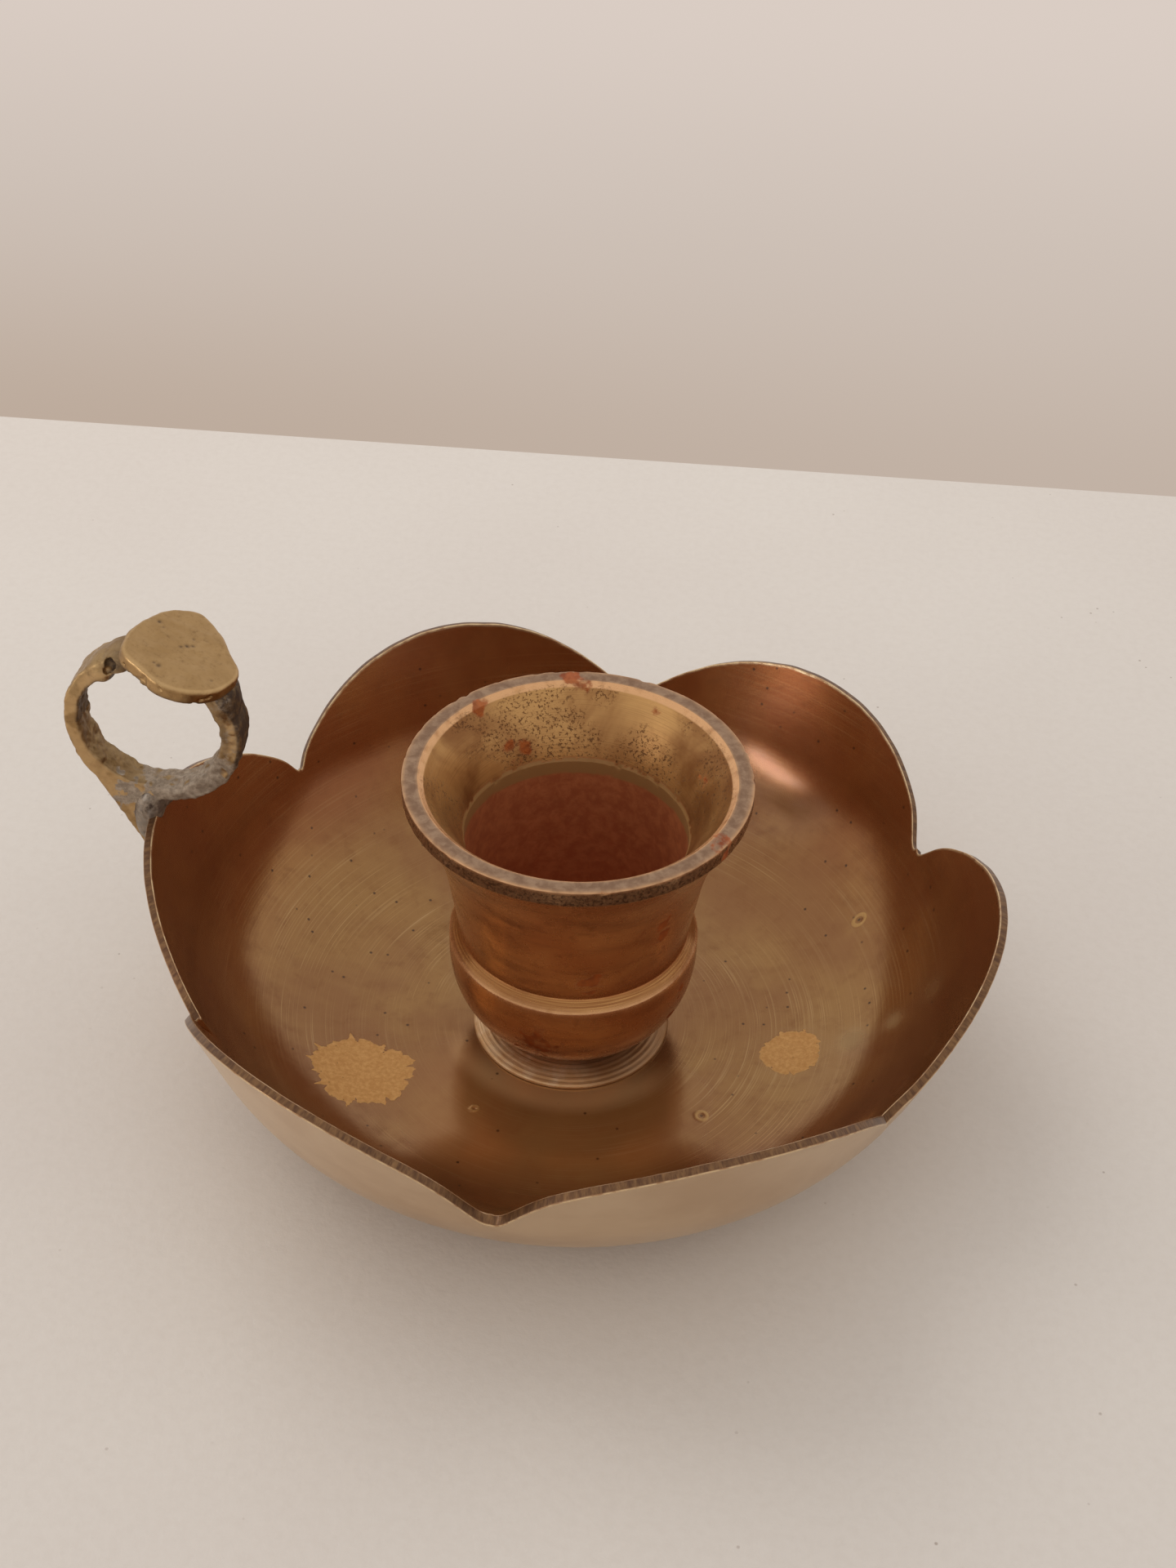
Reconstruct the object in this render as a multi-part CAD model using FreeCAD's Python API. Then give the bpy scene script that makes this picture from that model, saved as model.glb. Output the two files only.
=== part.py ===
import FreeCAD, Part
import math
import os

Vector = FreeCAD.Vector

# Lengths are millimetres and angles are degrees.
# Z points up from the table, the candle stands on the Z axis, and the handle points along minus X.

# Candle socket, from its straight bore up to the flat rim of its mouth
candle_diameter = 22.0
candle_clearance = 0.2
socket_depth = 16.8
socket_seat_drop = 2.7
socket_seat_radius = 6.0
mouth_flare_depth = 7.2
mouth_flare_width = 3.85
mouth_rim_width = 2.15
mouth_chamfer = 0.3
lip_edge_height = 1.65
lip_sweep_share = 0.062

# Outside of the cup, from its flat base up to the neck under the lip
cup_base_radius = 6.9
bowl_height = 9.7
bowl_bulge_share = 0.141
bead_proud = 1.05
bead_edge_height = 2.1
bead_land_height = 1.2
waist_wall = 0.57
neck_height = 6.45
neck_flare_width = 1.05

# Turned foot between the cup and the dish
foot_radius = 10.4
foot_height = 1.45
foot_edge_height = 0.35
foot_shoulder_radius = 7.4
foot_crevice_depth = 0.7
foot_crevice_height = 0.4
foot_hollow_share = 0.05

# Countersunk screw from below that holds dish, foot and cup together
screw_diameter = 4.0
screw_head_diameter = 8.0
screw_clearance = 0.1
thread_gap = 0.02
thread_engagement = 4.0
thread_runout = 0.35
cup_bottom_web = 0.85
screw_slot_width = 0.9
screw_slot_depth = 0.7

# Six-petalled dish
wall_thickness = 0.85
floor_thickness = 1.4
rest_recess_depth = 0.45
rest_ring_width = 3.5
notch_radius = 39.75
notch_height = 14.95
wall_lean = 19.7
petal_length = 11.9
petal_count = 6
handle_petal = 2

# Each petal was cut by hand, so each has its own length, and each notch its own small turn in degrees.
petal_length_shares = (0.80, 0.85, 0.93, 1.07, 1.03, 0.83)
notch_turns = (-3.0, -1.9, -0.4, 0.4, -2.6, -3.9)

# Finger ring with the tail that runs down behind the handle petal
finger_hole_radius = 7.4
band_thickness = 1.5
band_width_at_plate = 4.0
band_width_at_dish = 3.1
ring_lift = 2.1
ring_inset = 1.4
tail_overlap = 10.4
tail_end_thickness = 1.5
tail_end_width = 2.4
joint_gap = 0.05

# Oval thumb plate brazed across the open top of the ring
plate_tilt = 20.0
plate_length = 11.5
plate_width = 12.9
plate_thickness = 1.6
plate_edge_round = 0.35
plate_seat_share = 0.27
arm_gap_share = 0.4
braze_radius = 0.55

# The plate was shaped by hand: its outline as shares of a true oval, evenly round it from the candle's side.
plate_outline_shares = (1.05, 0.86, 0.89, 1.00, 0.92, 0.85, 0.89, 0.985, 0.86, 0.90, 0.95, 1.02)

# Lump of solder over the rim of the handle petal, under the ring
solder_reach = 2.3
solder_spread = 3.1
solder_inset = 1.3
solder_rise = 0.9
solder_round_share = 0.6

# One margin by which every cutting tool runs past what it cuts
overrun = 5.0

# Values worked out from the sizes above
bore_radius = candle_diameter / 2 + candle_clearance
mouth_inner_radius = bore_radius + mouth_flare_width
mouth_outer_radius = mouth_inner_radius + mouth_rim_width
waist_radius = bore_radius + waist_wall
bead_radius = waist_radius + bead_proud

floor_top = rest_recess_depth + floor_thickness
cup_base_z = floor_top + foot_height
tapped_hole_depth = thread_engagement + thread_runout
seat_z = cup_base_z + tapped_hole_depth + cup_bottom_web
bore_bottom_z = seat_z + socket_seat_drop
bore_edge_z = bore_bottom_z + socket_depth
mouth_z = bore_edge_z + mouth_flare_depth
bead_bottom_z = cup_base_z + bowl_height
bead_edge_z = bead_bottom_z + bead_edge_height
bead_top_z = bead_edge_z + bead_land_height
neck_top_z = bead_top_z + neck_height
lip_bottom_z = mouth_z - lip_edge_height

screw_radius = screw_diameter / 2
screw_head_radius = screw_head_diameter / 2
screw_head_height = screw_head_radius - screw_radius

lean = math.radians(wall_lean)
along_r = math.sin(lean)
along_z = math.cos(lean)
corner_radius = notch_height / (1 - math.sin(lean))
base_radius = notch_radius - corner_radius * math.cos(lean)
rest_inner_radius = base_radius - rest_ring_width
petal_pitch = 360.0 / petal_count

band_radius = finger_hole_radius + band_thickness
plate_seat = finger_hole_radius + plate_seat_share * band_thickness
arm_gap = 2 * arm_gap_share * finger_hole_radius


def at(radius, z):
    """A point of a turned profile."""
    return Vector(radius, 0, z)


def at_handle(radius, z):
    """A point in the upright plane through the candle's axis and the handle."""
    return Vector(-radius, 0, z)


def line(start, end):
    return Part.LineSegment(start, end).toShape()


def arc(start, middle, end):
    return Part.Arc(start, middle, end).toShape()


def bulged(start, end, share):
    """An arc between two profile points that stands off its chord, to the right of its direction, by a share of it."""
    chord = end.sub(start)
    side = Vector(chord.z, 0, -chord.x)
    middle = start.add(chord.multiply(0.5)).add(side.multiply(share))
    return arc(start, middle, end)


def chain(points):
    return [line(a, b) for a, b in zip(points, points[1:])]


def turned(edges):
    """The solid that a closed profile makes when it is turned about the candle's axis."""
    face = Part.Face(Part.Wire(edges))
    return face.revolve(Vector(0, 0, 0), Vector(0, 0, 1), 360)


def cylinder_across(radius, width, centre):
    """A cylinder along Y, with the given width, centred on the handle's plane."""
    return Part.makeCylinder(radius, width, centre - Vector(0, width / 2, 0), Vector(0, 1, 0))


def plate_across(points, width):
    """A flat plate whose outline lies in the handle's plane."""
    outline = Part.Face(Part.makePolygon(points + points[:1]))
    outline.translate(Vector(0, -width / 2, 0))
    return outline.extrude(Vector(0, width, 0))


def wall_point(length, depth):
    """A point on the straight wall: its length up the wall from the notches, and its depth inward from the outer face."""
    radius = notch_radius + length * along_r - depth * along_z
    return radius, notch_height + length * along_z + depth * along_r


def corner_arc(centre_radius, centre_z, radius):
    """The quarter-like turn from the level floor up into the leaning wall."""
    full = math.pi / 2 - lean
    places = []
    for turn in (0, full / 2, full):
        places.append(at(centre_radius + radius * math.sin(turn), centre_z - radius * math.cos(turn)))
    return places


def petal_share(index):
    return petal_length_shares[index % len(petal_length_shares)]


def notch_angle(index):
    turn = notch_turns[index % petal_count % len(notch_turns)]
    return 180 + (index - handle_petal - 0.5) * petal_pitch + turn


def screw_way():
    """The countersunk hole through the dish and the foot."""
    wide = screw_head_radius + screw_clearance
    narrow = screw_radius + screw_clearance
    cone = Part.makeCone(wide, narrow, screw_head_height, Vector(0, 0, rest_recess_depth))
    below = Part.makeCylinder(wide, overrun, Vector(0, 0, rest_recess_depth - overrun))
    shank = Part.makeCylinder(narrow, cup_base_z - rest_recess_depth + overrun, Vector(0, 0, rest_recess_depth))
    return cone.fuse([below, shank])


def dish_bowl():
    """The round bowl from which the petals are cut."""
    wall_length = petal_length * max(petal_length_shares) + overrun
    outer = corner_arc(base_radius, corner_radius, corner_radius)
    inner_r, inner_z = wall_point(0, wall_thickness)
    inner_turn = (inner_z - floor_top) / (1 - math.sin(lean))
    inner = corner_arc(inner_r - inner_turn * math.cos(lean), floor_top + inner_turn, inner_turn)
    underside = [
        at(0, rest_recess_depth),
        at(rest_inner_radius - rest_recess_depth, rest_recess_depth),
        at(rest_inner_radius, 0),
        outer[0],
    ]
    top = [outer[2], at(*wall_point(wall_length, 0)), at(*wall_point(wall_length, wall_thickness)), inner[2]]
    edges = chain(underside) + [arc(*outer)] + chain(top) + [arc(*reversed(inner))]
    edges += chain([inner[0], at(0, floor_top), underside[0]])
    return turned(edges)


def petal_cutter(index):
    """What is cut away above one petal: its sector of the round, less a cylinder square to the wall.

    The cylinder goes through the petal's tip and its two notches.
    """
    first = notch_angle(index)
    last = notch_angle(index + 1)
    half = math.radians(last - first) / 2
    tip_r, tip_z = wall_point(petal_length * petal_share(index), 0)
    rise = (tip_r - notch_radius * math.cos(half)) * along_r + (tip_z - notch_height) * along_z
    side = notch_radius * math.sin(half)
    radius = (side ** 2 + rise ** 2) / (2 * rise)
    centre_r = tip_r - radius * along_r
    centre_z = tip_z - radius * along_z
    inward = centre_r / along_z
    start = at(0, centre_z + inward * along_r)
    keep = Part.makeCylinder(radius, inward + notch_radius, start, Vector(along_z, 0, -along_r))
    reach = 2 * notch_radius
    low = notch_height / 2
    edge = Vector(reach * math.cos(half), reach * math.sin(half), low)
    corners = [at(0, low), edge - Vector(0, 2 * edge.y, 0), edge]
    sector = Part.Face(Part.makePolygon(corners + corners[:1])).extrude(Vector(0, 0, reach))
    cutter = sector.cut(keep)
    cutter.rotate(Vector(0, 0, 0), Vector(0, 0, 1), (first + last) / 2)
    return cutter


def make_dish():
    dish = dish_bowl().cut(screw_way())
    for index in range(petal_count):
        dish = dish.cut(petal_cutter(index))
    return dish


def make_candle_cup():
    """The turned cup: flat base, bowl, bead, narrow neck, flared lip, and the blind socket inside."""
    base_edge = at(cup_base_radius, cup_base_z)
    bead_bottom = at(bead_radius, bead_bottom_z)
    waist_bottom = at(waist_radius, bead_top_z)
    neck_top = at(waist_radius + neck_flare_width, neck_top_z)
    lip_bottom = at(mouth_outer_radius, lip_bottom_z)
    edges = [line(at(0, cup_base_z), base_edge)]
    edges.append(bulged(base_edge, bead_bottom, bowl_bulge_share))
    edges += chain([bead_bottom, at(bead_radius, bead_edge_z), waist_bottom, neck_top])
    edges.append(bulged(neck_top, lip_bottom, -lip_sweep_share))
    edges += chain([
        lip_bottom,
        at(mouth_outer_radius, mouth_z),
        at(mouth_inner_radius + mouth_chamfer, mouth_z),
        at(mouth_inner_radius, mouth_z - mouth_chamfer),
        at(bore_radius, bore_edge_z),
        at(bore_radius, bore_bottom_z),
        at(socket_seat_radius, seat_z),
        at(0, seat_z),
        at(0, cup_base_z),
    ])
    tapped = Part.makeCylinder(screw_radius + thread_gap, tapped_hole_depth, Vector(0, 0, cup_base_z))
    return turned(edges).cut(tapped)


def make_cup_foot():
    """The low turned foot: a slightly hollow cone, and a narrow neck that leaves a crevice under the cup."""
    edge_top = at(foot_radius, floor_top + foot_edge_height)
    shoulder = at(foot_shoulder_radius, cup_base_z - foot_crevice_height)
    neck_radius = cup_base_radius - foot_crevice_depth
    edges = chain([at(0, floor_top), at(foot_radius, floor_top), edge_top])
    edges.append(bulged(edge_top, shoulder, -foot_hollow_share))
    edges += chain([
        shoulder,
        at(neck_radius, cup_base_z - foot_crevice_height),
        at(neck_radius, cup_base_z),
        at(0, cup_base_z),
        at(0, floor_top),
    ])
    return turned(edges).cut(screw_way())


def make_cup_screw():
    head = Part.makeCone(screw_head_radius, screw_radius, screw_head_height, Vector(0, 0, rest_recess_depth))
    length = cup_base_z - rest_recess_depth + thread_engagement
    shank = Part.makeCylinder(screw_radius, length, Vector(0, 0, rest_recess_depth))
    slot_corner = Vector(-screw_head_diameter, -screw_slot_width / 2, rest_recess_depth - overrun)
    slot = Part.makeBox(2 * screw_head_diameter, screw_slot_width, screw_slot_depth + overrun, slot_corner)
    return head.fuse(shank).cut(slot).removeSplitter()


# Places of the handle, which all follow the tip of the handle petal
handle_length = petal_length * petal_share(handle_petal)
tip_r, tip_z = wall_point(handle_length, 0)
ring_r = tip_r - ring_inset
ring_z = tip_z + ring_lift + band_radius


def tail_outline():
    """The tail: against the wall, over the rim, and out to a line that runs off the ring's outside."""
    start_length = handle_length - tail_overlap
    inner_end = wall_point(start_length, -joint_gap)
    outer_end = wall_point(start_length, -joint_gap - tail_end_thickness)
    to_ring = math.hypot(ring_r - outer_end[0], ring_z - outer_end[1])
    heading = math.atan2(ring_r - outer_end[0], ring_z - outer_end[1]) + math.asin(band_radius / to_ring)
    run = math.sqrt(to_ring ** 2 - band_radius ** 2)
    touch = (outer_end[0] + run * math.sin(heading), outer_end[1] + run * math.cos(heading))
    over_inside = wall_point(handle_length + joint_gap, wall_thickness)
    over_outside = wall_point(handle_length + joint_gap, -joint_gap)
    ring_under = (over_inside[0], ring_z - finger_hole_radius)
    outline = (inner_end, outer_end, touch, (ring_r, ring_z), ring_under, over_inside, over_outside)
    return [at_handle(*place) for place in outline]


def towards_plate(distance, along):
    """A point seen from the ring's centre: its distance towards the plate and its place along the plate."""
    tilt = math.radians(plate_tilt)
    r = ring_r - distance * math.sin(tilt) + along * math.cos(tilt)
    return at_handle(r, ring_z + distance * math.cos(tilt) + along * math.sin(tilt))


def band_taper():
    """What the band's width is cut to: narrow at the tail's end, wider at the dish, widest at the plate."""
    bottom = wall_point(handle_length - tail_overlap, -joint_gap - tail_end_thickness)[1]
    levels = (
        (bottom - overrun, tail_end_width),
        (bottom, tail_end_width),
        (ring_z - band_radius, band_width_at_dish),
        (ring_z + finger_hole_radius, band_width_at_plate),
        (ring_z + band_radius + overrun, band_width_at_plate),
    )
    start = -ring_r - band_radius - overrun
    right = [Vector(start, width / 2, z) for z, width in levels]
    left = [Vector(start, -width / 2, z) for z, width in reversed(levels)]
    outline = Part.Face(Part.makePolygon(right + left + right[:1]))
    return outline.extrude(Vector(2 * (band_radius + overrun), 0, 0))


def make_finger_ring():
    centre = at_handle(ring_r, ring_z)
    band = cylinder_across(band_radius, band_width_at_plate, centre)
    tail = plate_across(tail_outline(), band_width_at_plate)
    hole = cylinder_across(finger_hole_radius, band_width_at_plate + overrun, centre)
    far = band_radius + overrun
    above = plate_across(
        [towards_plate(plate_seat, -far), towards_plate(plate_seat, far),
         towards_plate(far + plate_seat, far), towards_plate(far + plate_seat, -far)],
        band_width_at_plate + overrun,
    )
    between = plate_across(
        [towards_plate(0, -arm_gap / 2), towards_plate(0, arm_gap / 2),
         towards_plate(far, arm_gap / 2), towards_plate(far, -arm_gap / 2)],
        band_width_at_plate + overrun,
    )
    return band.fuse(tail).cut(hole.fuse([above, between])).common(band_taper()).removeSplitter()


def plate_outline():
    """A smooth closed curve through points around an oval."""
    points = []
    for index, share in enumerate(plate_outline_shares):
        turn = 2 * math.pi * index / len(plate_outline_shares)
        x = share * plate_length / 2 * math.cos(turn)
        y = share * plate_width / 2 * math.sin(turn)
        points.append(Vector(x, y, 0))
    curve = Part.BSplineCurve()
    curve.interpolate(Points=points, PeriodicFlag=True)
    return Part.Wire([curve.toShape()])


def make_thumb_plate():
    """The hand-shaped oval plate, level along Y and tilted towards the candle."""
    plate = Part.Face(plate_outline()).extrude(Vector(0, 0, plate_thickness))
    plate = plate.makeFillet(plate_edge_round, plate.Edges)
    plate.rotate(Vector(0, 0, 0), Vector(0, 1, 0), plate_tilt)
    plate.translate(towards_plate(plate_seat, 0))
    return plate


def make_plate_braze(ring, plate):
    """A thread of braze in the corner outside each arm, under the plate."""
    corner = math.sqrt(band_radius ** 2 - plate_seat ** 2)
    threads = []
    for side in (-1, 1):
        centre = towards_plate(plate_seat - braze_radius / 2, side * (corner + braze_radius / 2))
        thread = cylinder_across(braze_radius, band_width_at_dish, centre)
        threads.append(thread.cut(ring.fuse(plate)))
    return Part.makeCompound(threads)


def make_ring_solder(dish, ring):
    """A lump of solder that wraps the rim under the ring: a short bar across it with well rounded ends."""
    centre = at_handle(tip_r - solder_inset, tip_z + solder_rise)
    bar = cylinder_across(solder_reach, 2 * solder_spread, centre)
    ends = [edge for edge in bar.Edges if isinstance(edge.Curve, Part.Circle)]
    lump = bar.makeFillet(solder_round_share * solder_reach, ends)
    return lump.cut(dish).cut(ring)


def main():
    dish = make_dish()
    ring = make_finger_ring()
    plate = make_thumb_plate()
    parts = {
        "dish": dish,
        "candle_cup": make_candle_cup(),
        "cup_foot": make_cup_foot(),
        "cup_screw": make_cup_screw(),
        "finger_ring": ring,
        "thumb_plate": plate,
        "plate_braze": make_plate_braze(ring, plate),
        "ring_solder": make_ring_solder(dish, ring),
    }
    os.makedirs("parts", exist_ok=True)
    for name, shape in parts.items():
        shape.exportStep(os.path.join("parts", name + ".step"))
        print(name, len(shape.Solids), "solids", round(shape.Volume, 1), "mm3", shape.isValid())


main()
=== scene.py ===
import math

import bpy
import numpy as np
from mathutils import Matrix, Vector


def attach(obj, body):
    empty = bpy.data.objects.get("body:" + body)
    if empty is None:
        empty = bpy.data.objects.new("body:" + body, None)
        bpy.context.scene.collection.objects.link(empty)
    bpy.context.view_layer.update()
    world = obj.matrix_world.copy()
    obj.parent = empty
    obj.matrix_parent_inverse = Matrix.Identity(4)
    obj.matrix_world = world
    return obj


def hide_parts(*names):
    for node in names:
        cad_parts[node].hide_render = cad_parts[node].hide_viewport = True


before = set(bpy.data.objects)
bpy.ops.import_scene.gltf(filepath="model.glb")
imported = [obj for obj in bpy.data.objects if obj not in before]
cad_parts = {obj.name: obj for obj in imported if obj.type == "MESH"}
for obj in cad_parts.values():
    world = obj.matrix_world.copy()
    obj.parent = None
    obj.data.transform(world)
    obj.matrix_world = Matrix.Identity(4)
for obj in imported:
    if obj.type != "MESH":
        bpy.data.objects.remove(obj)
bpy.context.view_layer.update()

# Lengths below are millimetres in the frame of the CAD part. MM turns them into metres.
MM = 0.001

# Dish: wall and floor, underside, notches and petals
WALL = 0.85
FLOOR_TOP = 1.85
RECESS = 0.45
REST_RING = 3.5
SINK_R = 4.1
SCREW_HOLE_R = 2.7
NOTCH_R = 39.75
NOTCH_Z = 14.95
LEAN = math.radians(19.7)
PETAL = 11.9
PETALS = 6
SHARES = (0.80, 0.85, 0.93, 1.07, 1.03, 0.83)
TURNS = (-3.0, -1.9, -0.4, 0.4, -2.6, -3.9)
RIM_BEVEL = 0.13
UP_R = math.sin(LEAN)
UP_Z = math.cos(LEAN)
CORNER_R = NOTCH_Z / (1 - UP_R)
BASE_R = NOTCH_R - CORNER_R * UP_Z
FULL_TURN = math.pi / 2 - LEAN

# Cup: the screw's tapped hole, the bowl with the land on it, the mouth and the socket
CUP_SEAT = 3.3
CUP_TOP = 35.2
TAP_R = 2.02
TAP_TOP = 7.65
BOWL_R = 12.82
LAND_Z = 15.1
MOUTH_R = 17.2
BORE_R = 11.2
BORE_TOP = 28.0
BORE_FLOOR = 8.5
NEAR_AXIS = 0.03

# Foot: the turned ridges on its slope
RIDGE_START = 7.4
RIDGE_PITCH = 0.55
RIDGE_DEPTH = 0.017

# Handle: the ring's hole and outside, its place over the petal's tip, the tail, the gap and the plate
HOLE = 7.4
BAND = 8.9
RING_INSET = 1.4
RING_RISE = 2.1
SEAT_GAP = 0.05
TAIL_LENGTH = 10.4
TAIL_THICK = 1.5
GAP_HALF = 2.96
PLATE_TILT = math.radians(20)
PLATE_SEAT = 7.805
PLATE_THICK = 1.72

CELL = 0.15

# Random values come from a repeating lattice, and each octave is finer and shifted
LATTICE = 32
LATTICE_START = 50.0
OCTAVE_SCALE = 2.03
OCTAVE_SHIFT = 7.1


def linear(text):
    """A linear colour from a written sRGB one."""
    out = []
    for place in (1, 3, 5):
        value = int(text[place:place + 2], 16) / 255
        out.append(value / 12.92 if value <= 0.04045 else ((value + 0.055) / 1.055) ** 2.4)
    return (*out, 1.0)


def smooth(low, high, value):
    """A soft step from 0 at low to 1 at high."""
    t = np.clip((value - low) / (high - low), 0, 1)
    return t * t * (3 - 2 * t)


TABLES = {}


def noise(points, size, seed, octaves=1):
    """Smooth random values around 0 at the points, with lumps of the given size."""
    if seed not in TABLES:
        TABLES[seed] = np.random.default_rng(seed).uniform(-1, 1, (LATTICE, LATTICE, LATTICE))
    table = TABLES[seed]
    q = np.asarray(points, float) / size + LATTICE_START
    total = 0
    share = 1.0
    for _ in range(octaves):
        base = np.floor(q).astype(int)
        f = q - base
        f = f * f * (3 - 2 * f)
        for corner in range(8):
            c = np.array([corner & 1, (corner >> 1) & 1, (corner >> 2) & 1])
            at = (base + c) % LATTICE
            weight = np.prod(np.where(c == 1, f, 1 - f), axis=-1)
            total = total + share * weight * table[at[..., 0], at[..., 1], at[..., 2]]
        share *= 0.5
        q = q * OCTAVE_SCALE + OCTAVE_SHIFT
    return total


def wave(angle, orders, seed):
    """A closed wavy line round the object, about from -1 to 1."""
    rng = np.random.default_rng(seed)
    total = 0
    for order in orders:
        total = total + np.sin(order * angle + rng.uniform(0, 2 * math.pi)) * rng.uniform(0.5, 1)
    return total / math.sqrt(len(orders))


def around(r, z, turn):
    """Points at a radius and a height, turned about the candle's axis."""
    return np.stack([r * np.cos(turn), r * np.sin(turn), z], -1)


def distance(points, place):
    return np.sqrt(((points - np.array(place)) ** 2).sum(-1))


def placed(name, data):
    made = bpy.data.objects.new(name, data)
    bpy.context.scene.collection.objects.link(made)
    return made


def make_piece(name, points, faces, values, node):
    """A smooth mesh with its surface values, standing for one CAD node."""
    mesh = bpy.data.meshes.new(name)
    mesh.vertices.add(len(points))
    mesh.vertices.foreach_set("co", (points * MM).astype(np.float32).ravel())
    mesh.loops.add(faces.size)
    mesh.loops.foreach_set("vertex_index", faces.astype(np.int32).ravel())
    mesh.polygons.add(len(faces))
    mesh.polygons.foreach_set("loop_start", np.arange(0, faces.size, faces.shape[1], dtype=np.int32))
    mesh.update(calc_edges=True)
    mesh.polygons.foreach_set("use_smooth", np.ones(len(faces), bool))
    for key, value in values.items():
        made = mesh.attributes.new(key, "FLOAT", "POINT")
        made.data.foreach_set("value", np.broadcast_to(value, len(points)).astype(np.float32))
    mesh.validate()
    piece = placed(name, mesh)
    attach(piece, "root")
    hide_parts(node)
    return piece


def grid_faces(rows, columns):
    """Quads of a grid that closes round its rows and its columns."""
    r, c = np.meshgrid(np.arange(rows), np.arange(columns), indexing="ij")
    below = (r + 1) % rows
    beside = (c + 1) % columns
    corners = ((r, c), (r, beside), (below, beside), (below, c))
    return np.stack([row * columns + column for row, column in corners], -1).reshape(-1, 4)


def wall_point(length, depth):
    """Radius and height of a point up the straight wall from the notches, at a depth under its outer face."""
    return NOTCH_R + length * UP_R - depth * UP_Z, NOTCH_Z + length * UP_Z + depth * UP_R


def floor_corner(depth):
    """Height of the floor and radius of the round corner up to the wall, for their face at that depth."""
    bottom = FLOOR_TOP if depth else 0
    return bottom, (wall_point(0, depth)[1] - bottom) / (1 - UP_R)


def path_point(u, depth):
    """A point of the wall's section: u goes up the straight wall, or back round the corner below it."""
    flat_r, flat_z = wall_point(np.maximum(u, 0), depth)
    bottom, radius = floor_corner(depth)
    turn = np.clip(FULL_TURN + np.minimum(u, 0) / radius, 0, FULL_TURN)
    round_r = wall_point(0, depth)[0] - radius * UP_Z + radius * np.sin(turn)
    round_z = bottom + radius - radius * np.cos(turn)
    return np.where(u >= 0, flat_r, round_r), np.where(u >= 0, flat_z, round_z)


def notch_angle(index):
    """Heading in degrees of the notch before a petal. The handle stands at 180."""
    return 180 + (index - 2.5) * 360 / PETALS + TURNS[index % PETALS]


def dish_columns(count):
    """Angles round the dish, closer together at the notches, and the petal each belongs to."""
    t = np.arange(count) / count
    t = t - 0.7 * np.sin(2 * math.pi * t) / (2 * math.pi)
    angles = []
    for index in range(PETALS):
        first, last = notch_angle(index), notch_angle(index + 1)
        angles.append(first + (last - first) * t)
    return np.concatenate(angles), np.repeat(np.arange(PETALS), count)


def petal_height(angles, petals, depth):
    """How far up the straight wall the rim lies, for the wall's face at that depth."""
    notches = np.array([notch_angle(index) for index in range(PETALS + 1)])
    first, last = notches[petals], notches[petals + 1]
    half = np.radians(last - first) / 2
    phi = np.radians(angles - (first + last) / 2)
    tip_r, tip_z = wall_point(PETAL * np.array(SHARES)[petals], 0)
    rise = (tip_r - NOTCH_R * np.cos(half)) * UP_R + (tip_z - NOTCH_Z) * UP_Z
    side = NOTCH_R * np.sin(half)
    radius = (side ** 2 + rise ** 2) / (2 * rise)
    centre_r = tip_r - radius * UP_R
    centre_z = tip_z - radius * UP_Z
    rho, z = wall_point(0, depth)
    s = (rho * np.cos(phi) - centre_r) * UP_R + (z - centre_z) * UP_Z
    q = UP_R ** 2 * np.cos(phi) + UP_Z ** 2
    a = (UP_R * np.sin(phi)) ** 2 + q ** 2
    b = rho * UP_R * np.sin(phi) ** 2 + s * q
    c = (rho * np.sin(phi)) ** 2 + s ** 2 - radius ** 2
    return (-b + np.sqrt(np.maximum(b * b - a * c, 0))) / a


# Filing of each notch: how far it was opened, how wide its bottom is rounded, and the step across it
NOTCHES = (
    (1.9, 0.80, 0.0),
    (0.9, 0.35, 0.0),
    (0.9, 0.35, 0.0),
    (0.9, 0.35, 0.50),
    (2.7, 1.15, 0.0),
    (0.9, 0.35, -0.35),
)


def filed_notches(angles):
    """How far the notches lift the rim, and how far their steps push the wall outwards."""
    lift = 0
    push = 0
    for index, (opened, wide, step) in enumerate(NOTCHES):
        away = np.radians((angles - notch_angle(index) + 180) % 360 - 180) * NOTCH_R
        rounded = (np.hypot(away, wide) - np.abs(away)) / wide - np.exp(-(away / (3 * wide)) ** 2)
        lift = lift + opened * rounded
        push = push + step * smooth(-0.25, 0.25, away) * np.exp(-(away / 2.6) ** 2)
    return lift, push


# Bare spots on the dish's floor: centre, radius and how ragged
SPOTS = ((-20.2, -11.7, 5.0, 0.10), (23.7, -1.7, 3.2, 0.07))

# Small bright rings with a dark pit on the floor: centre and radius
RINGS = ((-7.85, -14.46, 0.50), (29.7, 15.1, 0.75), (15.2, -11.7, 0.75))

# Pale patches on the right wall, partly hazy rubbed metal and partly painted sheen: place, size and weight
HAZE_AND_SHEEN = ((29.9, -1.0, 4.5, 1.9, 0.6), (33.9, -0.4, 7.5, 1.5, 0.6), (37.3, 0.5, 11.7, 2.2, 0.4))


def spot_field(points):
    """How far inside a bare spot the points lie, up to 1 either way."""
    field = np.full(len(points), -1.0)
    for number, (x, y, radius, ragged) in enumerate(SPOTS):
        dx = points[:, 0] - x
        dy = points[:, 1] - y
        away = np.hypot(dx, dy)
        angle = np.arctan2(dy, dx)
        bulge = 0.10 * wave(angle, (2, 3, 5), 30 + number)
        teeth = ragged * wave(angle, (17, 26, 33), 40 + number) ** 3
        edge = radius * (1 + bulge + teeth)
        field = np.maximum(field, np.where(away < 3 * radius, edge - away, -1))
    return np.clip(field, -1, 1)


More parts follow.
